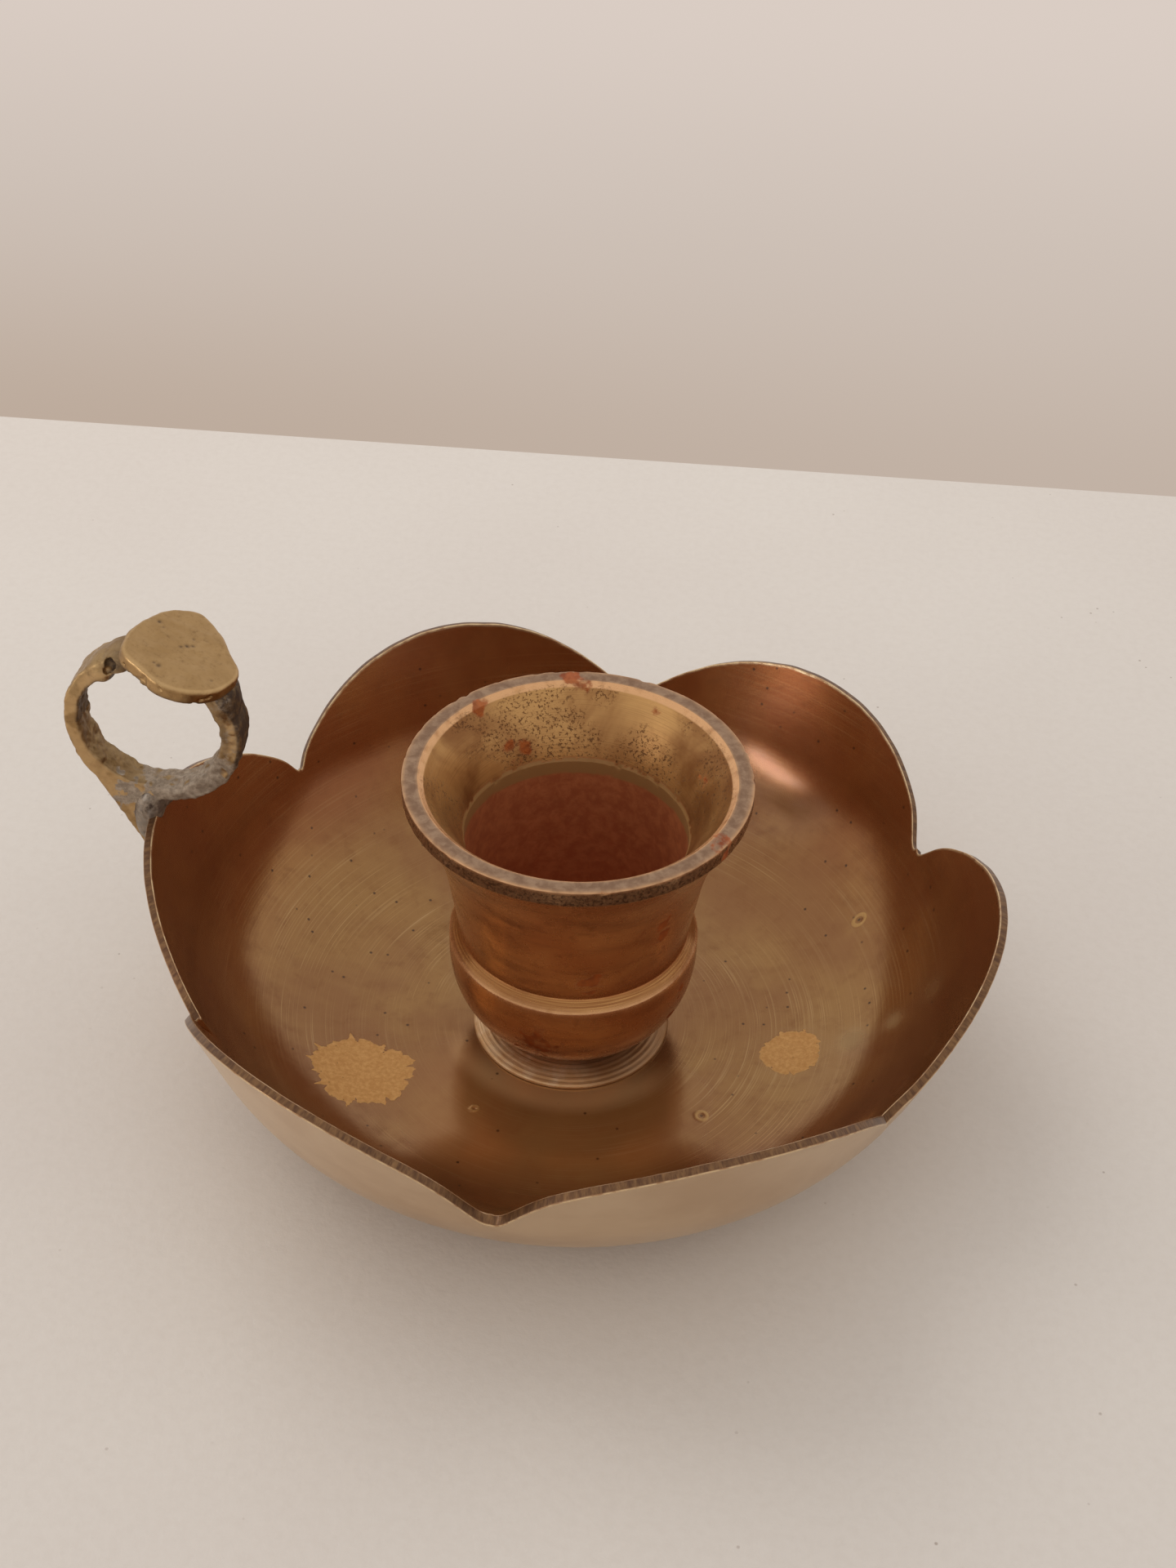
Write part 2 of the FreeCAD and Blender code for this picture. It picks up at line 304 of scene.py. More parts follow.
def dish_marks(points, outside):
    """Values of the spots, the rings, and the pale haze with painted sheen on the dish's inside."""
    on_floor = (1 - outside) * (1 - smooth(8, 10, points[:, 2])) > 0.5
    rings = np.zeros(len(points))
    for x, y, radius in RINGS:
        away = np.hypot(points[:, 0] - x, points[:, 1] - y) / radius
        rings = rings + np.exp(-((away - 0.75) / 0.3) ** 2) - 0.7 * np.exp(-(away / 0.35) ** 2)
    haze_and_sheen = np.zeros(len(points))
    for *place, size, weight in HAZE_AND_SHEEN:
        haze_and_sheen = haze_and_sheen + weight * np.exp(-(distance(points, place) / size) ** 2)
    return {
        "spot": np.where(on_floor, spot_field(points), -1),
        "ring": np.where(on_floor, rings, 0),
        "haze_and_sheen": haze_and_sheen * (1 - outside),
    }


# Where the run starts underneath, on the outside and on the rim, so that their marks differ
UNDER_RUN = 200
OUTSIDE_RUN = 300
RIM_RUN = 100


def edge_wear(away):
    return np.exp(-away / 0.22)


def rim_rows(top_out, top_in):
    """Rows across the rim's filed face, which is rounded towards both sides."""
    out_r, out_z = wall_point(top_out, 0)
    in_r, in_z = wall_point(top_in, WALL)
    outer = RIM_BEVEL * (1 - np.cos(np.linspace(0.25, 1, 5) * math.pi / 2))
    middle = np.linspace(RIM_BEVEL, WALL - RIM_BEVEL, 7)[1:]
    inner = WALL - RIM_BEVEL * (1 - np.cos(np.linspace(1, 0, 6)[1:] * math.pi / 2))
    rows = []
    for across in np.concatenate([outer, middle, inner]):
        near = min(across, WALL - across)
        drop = RIM_BEVEL - math.sqrt(max(RIM_BEVEL ** 2 - (RIM_BEVEL - min(near, RIM_BEVEL)) ** 2, 0))
        r = out_r + (in_r - out_r) * across / WALL - drop * UP_R
        z = out_z + (in_z - out_z) * across / WALL - drop * UP_Z
        rows.append((r, z, RIM_RUN + across, smooth(0.02, 0.14, near), math.exp(-near / 0.10), 0))
    return rows


def dish_rows(top_out, top_in):
    """Rows from the countersink underneath, over the rim, to the screw's hole in the floor.

    A row holds radius, height, run, share of the rim's face, wear, and 1 where it lies outside.
    """
    rows = []
    for r in np.linspace(SINK_R, BASE_R - REST_RING - RECESS, 8):
        rows.append((r, RECESS, UNDER_RUN + r, 0, 0, 1))
    for r in np.linspace(BASE_R - REST_RING, BASE_R, 6):
        rows.append((r, 0, UNDER_RUN + r, 0, 0, 1))
    low = -FULL_TURN * CORNER_R
    high = top_out - RIM_BEVEL
    for t in np.linspace(0, 1, 70)[1:]:
        u = low + (high - low) * (1 - (1 - t) ** 1.7)
        rows.append((*path_point(u, 0), OUTSIDE_RUN + u, 0, edge_wear(high - u), 1))
    rows += rim_rows(top_out, top_in)
    radius = floor_corner(WALL)[1]
    low = -FULL_TURN * radius
    high = top_in - RIM_BEVEL
    for t in np.linspace(0, 1, 150)[1:]:
        u = high + (low - high) * t ** 1.25
        rows.append((*path_point(u, WALL), u, 0, edge_wear(high - u), 0))
    floor_edge = wall_point(0, WALL)[0] - radius * UP_Z
    for r in np.linspace(floor_edge, SCREW_HOLE_R, 76)[1:]:
        rows.append((r, FLOOR_TOP, low - (floor_edge - r), 0, 0, 0))
    return rows


def make_dish():
    angles, petals = dish_columns(140)
    turn = np.radians(angles)
    lift, push = filed_notches(angles)
    lift = lift + 0.05 * wave(turn, (7, 11, 17, 23), 3) + 0.035 * wave(turn, (31, 47, 61, 83), 4)
    top_out = petal_height(angles, petals, 0) + lift
    top_in = petal_height(angles, petals, WALL) + lift + 0.03 * wave(turn, (19, 37, 53), 5)
    rows = dish_rows(top_out, top_in)
    columns = np.ones(len(turn))
    r, z, run, rim, wear, outside = (np.stack([row[place] * columns for row in rows]) for place in range(6))
    wavy = 0.10 * wave(turn, (2, 3, 5, 7), 8)
    r = r + push * smooth(12, 15.5, z) + wavy * smooth(4, 20, z)
    points = around(r, z, turn).reshape(-1, 3)
    values = {"run": run.ravel(), "rim": rim.ravel(), "wear": wear.ravel(), "outside": outside.ravel()}
    values.update(dish_marks(points, values["outside"]))
    return make_piece("dish_body", points, grid_faces(*r.shape), values, "dish")


def sharp_path(corners, step):
    """Points along a profile of straight runs, each corner given as (r, z) or (r, z, rounding)."""
    points = []
    for index, corner in enumerate(corners):
        here = np.array(corner[:2], float)
        if len(corner) == 2:
            points.append(here)
            continue
        before = np.array(corners[index - 1][:2], float) - here
        after = np.array(corners[index + 1][:2], float) - here
        before /= np.hypot(*before)
        after /= np.hypot(*after)
        for t in np.linspace(0, 1, 6):
            points.append(here + corner[2] * ((1 - t) ** 2 * before + t ** 2 * after))
    out = [points[0]]
    for a, b in zip(points, points[1:]):
        steps = max(1, math.ceil(np.hypot(*(b - a)) / step))
        for k in range(1, steps + 1):
            out.append(a + (b - a) * k / steps)
    return np.array(out)


def arc_corners(start, end, share, count):
    """Points of an arc that stands off its chord to the right of its direction."""
    start = np.array(start, float)
    end = np.array(end, float)
    chord = end - start
    side = np.array([chord[1], -chord[0]])
    out = []
    for t in np.linspace(0, 1, count):
        out.append(tuple(start + chord * t + side * share * (1 - (2 * t - 1) ** 2)))
    return out


def turned_piece(name, profile, columns, values_of, node, shape=None):
    """A closed profile turned about the candle's axis, and bent by a shape function where one is given."""
    turn = np.linspace(0, 2 * math.pi, columns, endpoint=False)
    run = np.concatenate([[0], np.cumsum(np.hypot(*np.diff(profile, axis=0).T))])
    r, z, run = (np.repeat(row[:, None], columns, 1) for row in (*profile.T, run))
    if shape:
        r, z = shape(r, z, turn)
    points = around(r, z, turn).reshape(-1, 3)
    values = values_of(points, np.hypot(points[:, 0], points[:, 1]))
    values["run"] = run.ravel()
    return make_piece(name, points, grid_faces(*r.shape), values, node)


def cup_profile():
    corners = [(NEAR_AXIS, TAP_TOP), (TAP_R, TAP_TOP), (TAP_R, CUP_SEAT), (6.85, CUP_SEAT, 0.1)]
    corners += arc_corners((6.9, 3.35), (BOWL_R, 13.0), 0.141, 40)
    corners += [(BOWL_R, LAND_Z, 0.10), (11.77, 16.28, 0.06), (BOWL_R, 22.75, 0.8)]
    corners += arc_corners((12.9, 23.2), (17.15, 33.5), -0.062, 24)[1:]
    corners += [(MOUTH_R, 33.62, 0.07), (MOUTH_R, CUP_TOP, 0.14)]
    corners += [(15.62, CUP_TOP, 0.06), (15.05, 34.72, 0.12)]
    corners += arc_corners((15.0, 34.6), (11.25, 28.1), 0.035, 16)[1:]
    corners += [(BORE_R, BORE_TOP, 0.07), (BORE_R, 11.2), (6.0, BORE_FLOOR), (NEAR_AXIS, BORE_FLOOR)]
    return sharp_path(corners, 0.26)


# Rust-red stains on the cup: place, size and weight
CUP_STAINS = (
    (-3.0, 15.9, 35.2, 1.1, 1.0), (-1.9, 15.1, 35.0, 0.9, 0.9), (-11.4, 9.7, 34.6, 0.9, 0.9),
    (-8.2, 9.2, 30.4, 1.2, 0.8), (-6.8, 9.8, 29.8, 1.0, 0.7), (12.2, 5.3, 31.7, 1.0, 0.9),
    (6.3, 13.4, 33.8, 0.8, 0.6), (14.6, -7.2, 35.2, 1.6, 1.0), (10.4, -9.0, 25.2, 1.2, 0.8),
    (10.2, -8.5, 23.0, 1.1, 0.8), (10.0, -7.8, 20.8, 1.0, 0.7), (3.2, -11.8, 19.0, 1.5, 0.9),
    (11.7, -5.0, 12.8, 0.8, 0.9), (10.6, -5.4, 9.8, 0.8, 0.9), (-2.0, -12.0, 10.2, 2.2, 0.5),
)


def cup_stain(points, rough):
    stain = np.full(len(points), -1.0)
    for x, y, height, size, weight in CUP_STAINS:
        away = distance(points * (1, 1, 0.8), (x, y, 0.8 * height))
        stain = np.maximum(stain, weight * (1 - away / size) + 0.55 * rough)
    return np.clip(stain, -1, 1)


def cup_values(points, r):
    """Where the cup's surfaces lie: bore, mouth, rim, edges, land and stains."""
    z = points[:, 2]
    rough = noise(points, 0.9, 61, 3)
    inner = smooth(-0.02, 0.02, 15.3 + (z - 34.9) * 0.5 - r) * smooth(7.0, 8.4, z)
    bore = (r < BORE_R + 0.15) * (z > 8) * 1.0
    chamfer = smooth(15.72, 15.6, r) * smooth(15.0, 15.1, r) * smooth(34.5, 34.8, z)
    mouth_edge = np.exp(-np.hypot(r - MOUTH_R, z - CUP_TOP) / 0.16)
    # The land's lower edge: worn, with a painted highlight along it
    bowl_edge_wear_and_highlight = np.exp(-np.hypot(r - BOWL_R, z - LAND_Z) / 0.28)
    return {
        "bore": bore,
        "top": smooth(35.02, 35.12, z) * (r > 15.5),
        "wear": np.clip(chamfer + mouth_edge + bowl_edge_wear_and_highlight, 0, 1),
        "flare": inner * (1 - bore) * (z > 27.5),
        "band": bore * smooth(26.4, 26.7, z + 0.15 * rough),
        "lip": smooth(33.3, 33.6, z) * smooth(35.1, 34.9, z) * (r > 16.6),
        "land": smooth(15.08, 15.2, z) * smooth(16.3, 16.15, z) * (r > 11.6),
        "stain": cup_stain(points, rough),
    }


def cup_shape(r, z, turn):
    """Nicks in the mouth's edge, chips at the top of the bore and knocks in the lip."""
    points = around(r, z, turn)
    mouth_edge = np.exp(-(np.hypot(r - MOUTH_R, z - CUP_TOP) / 0.5) ** 2)
    nick = np.minimum(noise(points, 1.1, 62, 2) + 0.25, 0) * 0.16
    bore_edge = np.exp(-(np.hypot(r - BORE_R, z - BORE_TOP) / 0.4) ** 2)
    chip = np.minimum(noise(points, 0.7, 63, 2) + 0.15, 0) * 0.14
    z = z + mouth_edge * nick + bore_edge * chip
    r = r + mouth_edge * nick * 0.8 - bore_edge * chip * 0.6
    lip = smooth(33.3, 33.7, z) * smooth(35.0, 34.8, z) * (r > 16.5)
    return r + lip * np.minimum(noise(points, 0.8, 64, 2) + 0.2, 0) * 0.10, z


def make_cup():
    columns = 400
    return turned_piece("cup_body", cup_profile(), columns, cup_values, "candle_cup", cup_shape)


def foot_values(points, r):
    return {"wear": smooth(6.6, 7.4, r) * (points[:, 2] > 1.9)}


def foot_profile():
    corners = [(2.7, FLOOR_TOP), (2.1, 2.45), (2.1, CUP_SEAT), (6.2, CUP_SEAT), (6.2, 2.9), (7.3, 2.9)]
    for r, z in arc_corners((RIDGE_START, 2.88), (10.33, 2.22), -0.05, 60):
        turn = 2 * math.pi * (r - RIDGE_START) / RIDGE_PITCH
        corners.append((r, z - RIDGE_DEPTH * (1 - math.cos(turn))))
    corners += [(10.4, 2.15), (10.4, 1.87), (10.35, FLOOR_TOP)]
    return sharp_path(corners, 0.12)


def make_foot():
    columns = 300
    return turned_piece("foot_ring", foot_profile(), columns, foot_values, "cup_foot")


def edge_ends(axis, margin):
    """The slices of a grid that hold the two ends of its edges along an axis."""
    first = [slice(margin, -margin or None)] * 3
    last = list(first)
    first[axis] = slice(0, -1)
    last[axis] = slice(1, None)
    return tuple(first), tuple(last)


def net_points(grid, value, step):
    """A point in each cell that the surface crosses, and the number of each cell's point."""
    cells = tuple(n - 1 for n in value.shape)
    total = np.zeros(cells + (3,))
    count = np.zeros(cells)
    for axis in range(3):
        first, last = edge_ends(axis, 0)
        a, b = value[first], value[last]
        crossed = (a < 0) != (b < 0)
        t = np.where(crossed, a / np.where(crossed, a - b, 1), 0)
        place = grid[first].copy()
        place[..., axis] += t * step
        place = place * crossed[..., None]
        one, two = (n for n in range(3) if n != axis)
        for i in (0, 1):
            for j in (0, 1):
                pick = [slice(None)] * 3
                pick[one] = slice(i, i + cells[one])
                pick[two] = slice(j, j + cells[two])
                total += place[tuple(pick)]
                count += crossed[tuple(pick)]
    used = count > 0
    number = np.full(cells, -1)
    number[used] = np.arange(used.sum())
    return total[used] / count[used][:, None], number


def net_faces(inside, number):
    """A quad round each edge of the grid that the surface crosses, with its front outside."""
    faces = []
    for axis in range(3):
        first, last = edge_ends(axis, 1)
        starts_inside = inside[first]
        crossed = starts_inside != inside[last]
        offset = np.ones(3, int)
        offset[axis] = 0
        at = np.argwhere(crossed) + offset
        one, two = np.eye(3, dtype=int)[[(axis + 1) % 3, (axis + 2) % 3]]
        quad = [number[tuple((at - one * i - two * j).T)] for i, j in ((1, 1), (0, 1), (0, 0), (1, 0))]
        quad = np.stack(quad, -1)
        backward = ~starts_inside[crossed]
        quad[backward] = quad[backward][:, ::-1]
        faces.append(quad)
    return np.concatenate(faces)


def drawn_to_surface(field, points, step):
    """The points after three short moves along the field's slope towards its zero surface."""
    reach = step * 0.25
    for _ in range(3):
        slope = np.zeros_like(points)
        for axis in range(3):
            shift = np.zeros(3)
            shift[axis] = reach
            slope[:, axis] = (field(points + shift) - field(points - shift)) / (2 * reach)
        size = np.maximum((slope ** 2).sum(1), 0.25)
        move = -(field(points) / size)[:, None] * slope
        length = np.linalg.norm(move, axis=1, keepdims=True)
        points = points + move * np.minimum(1, step * 0.4 / np.maximum(length, 1e-9))
    return points


def surface_net(field, low, high):
    """A closed quad mesh over the zero surface of a distance field, inside the box from low to high."""
    step = CELL
    axes = [np.arange(start, end + step, step) for start, end in zip(low, high)]
    grid = np.stack(np.meshgrid(*axes, indexing="ij"), -1)
    value = field(grid.reshape(-1, 3)).reshape(grid.shape[:3])
    points, number = net_points(grid, value, step)
    return drawn_to_surface(field, points, step), net_faces(value < 0, number)


def polygon_distance(corners, r, z):
    """Distance to a closed outline, negative inside it."""
    best = np.full(r.shape, 1e9)
    sign = np.ones(r.shape)
    for (r0, z0), (r1, z1) in zip(corners, corners[1:] + corners[:1]):
        er, ez = r1 - r0, z1 - z0
        wr, wz = r - r0, z - z0
        t = np.clip((wr * er + wz * ez) / (er * er + ez * ez), 0, 1)
        best = np.minimum(best, (wr - er * t) ** 2 + (wz - ez * t) ** 2)
        above = z >= z0
        below = z < z1
        beside = er * wz > ez * wr
        sign = np.where((above & below & beside) | (~above & ~below & ~beside), -sign, sign)
    return sign * np.sqrt(best)


def blend_min(a, b, k):
    """The smaller of two distances, with a fillet of size k."""
    h = np.clip(0.5 + 0.5 * (b - a) / k, 0, 1)
    return b + (a - b) * h - k * h * (1 - h)


def blend_max(a, b, k):
    return -blend_min(-a, -b, k)


def ellipsoid(points, centre, radii):
    """Near distance to an ellipsoid, negative inside it."""
    offset = points - np.array(centre)
    scaled = np.linalg.norm(offset / np.array(radii), axis=1)
    steep = np.linalg.norm(offset / np.array(radii) ** 2, axis=1)
    return scaled * (scaled - 1) / np.maximum(steep, 1e-6)


def rounded_both(a, b, edge):
    """Distance to what lies inside both a and b, with a rounded edge between them."""
    a = a + edge
    b = b + edge
    return np.hypot(np.maximum(a, 0), np.maximum(b, 0)) - edge + np.minimum(np.maximum(a, b), 0)


HANDLE_LENGTH = PETAL * SHARES[2]
TIP_R, TIP_Z = wall_point(HANDLE_LENGTH, 0)
RING_R = TIP_R - RING_INSET
RING_Z = TIP_Z + RING_RISE + BAND


def tail_corners():
    """Outline of the tail down the wall and of the web between it and the ring."""
    start = HANDLE_LENGTH - TAIL_LENGTH
    inner_end = wall_point(start, -SEAT_GAP)
    outer_end = wall_point(start, -SEAT_GAP - TAIL_THICK)
    to_ring = math.hypot(RING_R - outer_end[0], RING_Z - outer_end[1])
    heading = math.atan2(RING_R - outer_end[0], RING_Z - outer_end[1]) + math.asin(BAND / to_ring)
    reach = math.sqrt(to_ring ** 2 - BAND ** 2)
    touch = (outer_end[0] + reach * math.sin(heading), outer_end[1] + reach * math.cos(heading))
    over_in = wall_point(HANDLE_LENGTH + SEAT_GAP, WALL)
    over_out = wall_point(HANDLE_LENGTH + SEAT_GAP, -SEAT_GAP)
    return [inner_end, outer_end, touch, (RING_R, RING_Z), (over_in[0], RING_Z - HOLE), over_in, over_out]


TAIL = tail_corners()


def to_plate(points):
    """Distance from the ring's centre towards the plate, and place along the plate."""
    dr = -points[:, 0] - RING_R
    dz = points[:, 2] - RING_Z
    up = dz * math.cos(PLATE_TILT) - dr * math.sin(PLATE_TILT)
    along = dr * math.cos(PLATE_TILT) + dz * math.sin(PLATE_TILT)
    return up, along


def ring_heading(points):
    """Heading round the ring's centre in degrees, 0 towards the candle and 90 up."""
    return np.degrees(np.arctan2(points[:, 2] - RING_Z, points[:, 0] + RING_R))


# The ring's half width at the tail's end, at its foot and at its top, with the heights they belong to
HALF_WIDTHS = (1.2, 1.58, 2.0)
WIDTH_LEVELS = (TIP_Z - 10.3, RING_Z - BAND, RING_Z + HOLE)

# Fillets of braze between the ring's arms and the plate: centre and radii
BRAZE = (
    ((-44.9, -0.4, 43.9), (1.3, 1.9, 0.9)),
    ((-46.4, -0.5, 42.9), (1.1, 1.7, 1.5)),
    ((-34.7, -0.2, 40.6), (1.2, 2.2, 1.9)),
)

# Pits in the ring: place and size
RING_PITS = (
    (-47.2, -2.0, 31.0, 0.42), (-46.6, -2.1, 31.7, 0.3), (-47.6, -2.0, 30.4, 0.25), (-45.6, -2.1, 29.6, 0.22),
    (-45.2, -2.0, 44.2, 0.65), (-45.6, -2.0, 43.4, 0.45),
)


def ring_field(points):
    """The band with its tail, open under the plate, with crust, braze and pits."""
    x, y, z = points.T
    away = np.hypot(x + RING_R, z - RING_Z)
    ripple = noise(np.stack([-x, z * 0 + 3, z], -1), 1.4, 71, 2)
    flat = blend_min(away - BAND - 0.10 * ripple, polygon_distance(TAIL, -x, z), 1.2)
    thick = 0.55 * smooth(0.25, 0.95, (x + RING_R) / np.maximum(away, 1))
    hole = HOLE - thick - away + 0.16 * noise(points, 1.0, 72, 3) + 0.05
    flat = blend_max(flat, hole, 0.25)
    up, along = to_plate(points)
    flat = np.maximum(flat, up - PLATE_SEAT - 0.15)
    flat = np.maximum(flat, np.minimum(GAP_HALF - np.abs(along), up))
    half = np.interp(z, WIDTH_LEVELS, HALF_WIDTHS) - 0.10 * smooth(0, 1, noise(points, 2.2, 73, 2))
    out = rounded_both(flat, np.abs(y) - half, 0.28)
    heading = ring_heading(points)
    crust = smooth(-115, -85, heading) * smooth(-5, -30, heading)
    out = out + (0.05 + 0.07 * crust) * noise(points, 0.8, 74, 2) - 0.10 * crust
    out = out + 0.025 * noise(points, 0.35, 75, 1)
    joints = np.min([ellipsoid(points, centre, radii) for centre, radii in BRAZE], axis=0)
    out = blend_min(out, blend_max(joints, up - PLATE_SEAT - 1.0, 0.3), 1.1)
    for *place, size in RING_PITS:
        out = blend_max(out, size - distance(points, place), 0.12)
    return out


def ring_smear(points, heading):
    """Grey solder smeared up the ring from the petal, and thinly up its near side."""
    y, z = points[:, 1], points[:, 2]
    smear = smooth(-124, -96, heading + 26 * noise(points, 1.0, 76, 3)) * smooth(-2, -38, heading)
    smear = smear * smooth(-0.5, 0.2, 0.6 + noise(points, 1.2, 77, 3)) * smooth(24.0, 26.0, z)
    smear = smear * (0.75 + 0.25 * smooth(0.9, 1.5, -y))
    thin = 0.42 * smooth(-100, -60, heading) * smooth(60, 30, heading) * smooth(1.2, 1.7, -y)
    return np.maximum(smear, thin)


def ring_grime_and_shade(points, heading):
    """Darker places on the ring: in the hole, most at its upper left; painted shade on the outside of the arm
    above the dish; and dark joints round the braze.
    """
    x, y, z = points.T
    away = np.hypot(x + RING_R, z - RING_Z)
    up, along = to_plate(points)
    hole = smooth(HOLE + 0.45, HOLE + 0.15, away) * smooth(2.05, 1.7, np.abs(y))
    hole = hole * (0.30 + 0.45 * smooth(-200, -60, -np.abs(heading - 140)))
    # Painted shade on the underside of the arm above the dish
    arm = smooth(0.2, 0.7, (x + 42) / 9) * smooth(BAND - 0.5, BAND - 0.2, away) * smooth(-6.0, 0.0, up)
    joint = 1.6 * np.exp(-((x + 45.2) ** 2 + (z - 44.0) ** 2) / 0.5) * smooth(-0.5, -1.4, y)
    for place, width in ((-4.0, 1.4), (4.3, 1.3)):
        joint = joint + np.exp(-((along - place) / width) ** 2 - (up - PLATE_SEAT + 0.6) ** 2)
    return hole + 0.95 * arm + 0.8 * joint


def make_ring():
    points, faces = surface_net(ring_field, (-52.2, -2.7, 14.2), (-32.2, 2.7, 46.2))
    heading = ring_heading(points)
    side = smooth(1.3, 1.7, np.abs(points[:, 1]))
    values = {
        "grime_and_shade": np.clip(ring_grime_and_shade(points, heading), 0, 1),
        "smear": np.clip(ring_smear(points, heading), 0, 1),
        "wear": side * smooth(0.0, 0.5, 0.35 + noise(points, 1.6, 78, 3)),
    }
    return make_piece("ring_and_tail", points, faces, values, "finger_ring")


# Dents in the plate's top: place along and across it, and size
PLATE_DENTS = (
    (-0.4, 0.9, 0.50), (-0.9, 1.2, 0.40), (0.1, 0.4, 0.35), (-0.7, 2.2, 0.30), (1.2, -3.3, 0.50),
    (1.7, -3.2, 0.30), (3.0, 2.8, 0.45), (2.4, 2.2, 0.30), (-3.9, -2.6, 0.30),
)
PLATE_SHARES = (1.05, 0.86, 0.89, 1.00, 0.92, 0.85, 0.89, 0.985, 0.86, 0.90, 0.95, 1.02)


def plate_edge():
    """The plate's outline as angle, radius and slope, smooth through the shares of its oval."""
    turn = np.arange(12) * math.pi / 6
    knots = np.stack([5.75 * np.cos(turn), 6.45 * np.sin(turn)], -1) * np.array(PLATE_SHARES)[:, None]
    t = np.linspace(0, 12, 481)[:-1]
    i = np.floor(t).astype(int)
    f = (t - i)[:, None]
    a, b, c, d = (knots[(i + n) % 12] for n in (-1, 0, 1, 2))
    bend = (2 * a - 5 * b + 4 * c - d) * f ** 2 + (3 * b - 3 * c + d - a) * f ** 3
    curve = 0.5 * (2 * b + (c - a) * f + bend)
    angle = np.unwrap(np.arctan2(curve[:, 1], curve[:, 0]))
    radius = np.hypot(curve[:, 0], curve[:, 1])
    return angle, radius, np.gradient(radius) / np.gradient(angle)


PLATE_EDGE = plate_edge()


def plate_reach(along, y):
    """Signed distance to the plate's outline, and the share of the way out to it."""
    turn = np.arctan2(y, -along)
    radius = np.interp(turn, PLATE_EDGE[0], PLATE_EDGE[1], period=2 * math.pi)
    slope = np.interp(turn, PLATE_EDGE[0], PLATE_EDGE[2], period=2 * math.pi)
    rho = np.hypot(along, y)
    return (rho - radius) / np.sqrt(1 + (slope / radius) ** 2), rho / radius


def plate_field(points):
    """The oval slab with a rounded edge, dents on top, a hollow belly and holes along its side."""
    y = points[:, 1]
    up, along = to_plate(points)
    lift = up - PLATE_SEAT
    edge, out_share = plate_reach(along, y)
    edge = edge + 0.06 * noise(points, 1.8, 82, 2)
    dent = 0.05 * noise(points, 2.6, 83, 2)
    for a, b, size in PLATE_DENTS:
        dent = dent + 0.28 * size * np.exp(-((along - a) ** 2 + (y - b) ** 2) / (0.5 * size) ** 2)
    belly = -lift - 0.35 * (1 - np.minimum(out_share, 1) ** 2) + 0.02
    slab = np.maximum(lift - PLATE_THICK + dent, belly)
    holes = smooth(0.45, 0.75, noise(points, 0.8, 85, 2)) * smooth(0.9, 0.98, out_share)
    holes = holes * smooth(1.5, 1.1, lift)
    return rounded_both(edge, slab, 0.42) + 0.03 * noise(points, 0.7, 84, 2) + 0.16 * holes


def make_plate():
    points, faces = surface_net(plate_field, (-46.6, -7.4, 40.6), (-31.8, 7.4, 48.6))
    y = points[:, 1]
    up, along = to_plate(points)
    out_share = plate_reach(along, y)[1]
    dents = np.zeros(len(points))
    for a, b, size in PLATE_DENTS:
        dents = np.maximum(dents, np.exp(-((along - a) ** 2 + (y - b) ** 2) / (0.45 * size) ** 2))
    on_top = smooth(1.2, 1.5, up - PLATE_SEAT)
    values = {
        # Darker in the dents on top, and painted shade on the plate's underside
        "grime_and_shade": np.clip(0.8 * dents * on_top + 0.6 * smooth(0.7, 0.1, up - PLATE_SEAT), 0, 1),
        "smear": 0,
        "wear": np.clip((np.exp(-((out_share - 0.965) / 0.022) ** 2) + 0.2) * on_top, 0, 1),
    }
    return make_piece("thumb_disc", points, faces, values, "thumb_plate")


# The solder's three lumps: centre and radii
SOLDER_LUMPS = (
    ((-43.5, -0.9, 26.2), (1.4, 1.3, 2.2)),
    ((-42.7, 1.2, 26.6), (1.5, 1.5, 1.5)),
    ((-44.1, -1.1, 24.0), (1.0, 1.05, 2.3)),
)


def solder_field(points):
    first, *others = SOLDER_LUMPS
    out = ellipsoid(points, *first)
    for centre, radii in others:
        out = blend_min(out, ellipsoid(points, centre, radii), 1.3)
    return out + 0.06 * noise(points, 1.3, 91, 3)


def make_solder():
    points, faces = surface_net(solder_field, (-46.0, -4.2, 21.6), (-38.0, 4.2, 30.0))
    values = {"grime_and_shade": smooth(-0.2, 0.5, noise(points, 1.0, 92, 3)), "smear": 0.55, "wear": 0}
    return make_piece("solder_lump", points, faces, values, "ring_solder")


